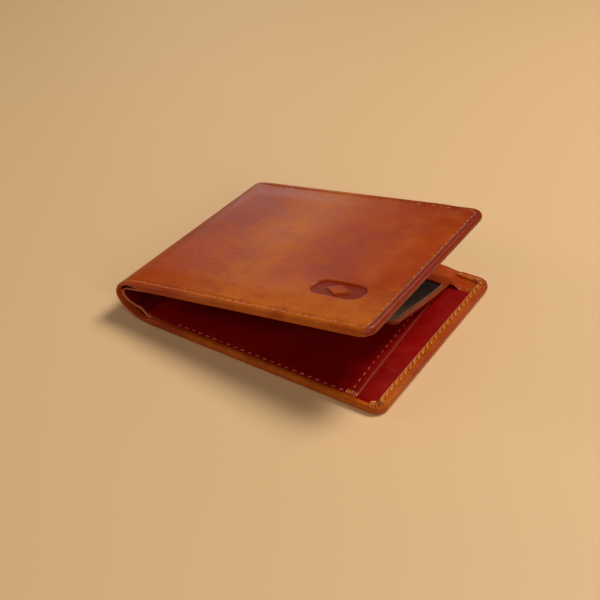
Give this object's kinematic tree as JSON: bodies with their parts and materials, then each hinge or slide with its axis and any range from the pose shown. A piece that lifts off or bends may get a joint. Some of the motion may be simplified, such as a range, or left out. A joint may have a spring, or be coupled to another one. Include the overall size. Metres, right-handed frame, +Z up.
{
  "type": "bifold wallet with window flap",
  "caption": "Folding leather wallet with a soft rounded spine, note compartment, card slots, side pocket and a flip-up window flap, resting partly open.",
  "frame": {"origin": "middle of the rear half's underside, on the surface that the wallet rests on", "axes": "+X from the spine to the free edge, +Y from the front edge to the open back edge of the note compartment, +Z up"},
  "size_m": [0.1144, 0.093, 0.0343],
  "materials": {
    "outer_leather": "waxed tan leather with mottled colour",
    "inner_leather": "glossy deep red-brown leather",
    "board": "matt fibre board",
    "lining_cloth": "plain woven lining",
    "thread": "waxed thread",
    "window_sheet": "clear flexible sheet"
  },
  "bodies": {
    "rear_half": {"rear_cover": "outer_leather", "rear_board": "board", "rear_lining": "lining_cloth", "rear_panel_backing": "lining_cloth", "rear_inner_panel": "inner_leather", "rear_turned_edge": "outer_leather", "rear_top_strip": "outer_leather", "rear_side_pocket": "inner_leather", "rear_edge_stitches": "thread", "rear_strip_stitches": "thread", "pocket_mouth_stitches": "thread", "pocket_bar_tacks": "thread"},
    "spine_lower": {"spine_leather_lower": "outer_leather", "spine_lining_lower": "inner_leather"},
    "spine_upper": {"spine_leather_upper": "outer_leather", "spine_lining_upper": "inner_leather"},
    "front_half": {"front_cover": "outer_leather", "front_board": "board", "front_lining": "lining_cloth", "front_panel_backing": "lining_cloth", "front_inner_panel": "inner_leather", "front_turned_edge": "outer_leather", "front_top_strip": "outer_leather", "front_card_slot_1": "inner_leather", "front_card_slot_2": "inner_leather", "front_card_slot_3": "inner_leather", "front_edge_stitches": "thread", "front_slot_stitches": "thread"},
    "flap": {"flap_frame": "outer_leather", "flap_window": "window_sheet", "flap_back": "inner_leather", "flap_stitches": "thread"}
  },
  "joints": [
    {"name": "lower_crease", "type": "hinge", "parent": "rear_half", "child": "spine_lower", "pos_m": [-0.0515, 0, 0], "axis": [0, -1, 0], "range_deg": [-1.29, 38.05]},
    {"name": "middle_crease", "type": "hinge", "parent": "spine_lower", "child": "spine_upper", "pos_m": [-0.06293, 0, 0.00893], "axis": [0, -1, 0], "range_deg": [-2.81, 86.2]},
    {"name": "upper_crease", "type": "hinge", "parent": "spine_upper", "child": "front_half", "pos_m": [-0.05776, 0, 0.01654], "axis": [0, -1, 0], "range_deg": [-1.55, 46.05]},
    {"name": "flap_hinge", "type": "hinge", "parent": "rear_half", "child": "flap", "pos_m": [0, 0.0334, 0.00395], "axis": [-1, 0, 0], "range_deg": [-4.5, 0.5]}
  ],
  "couplings": [
    {"joint": "lower_crease", "follows": "middle_crease", "ratio": 0.44083},
    {"joint": "upper_crease", "follows": "middle_crease", "ratio": 0.53364}
  ]
}
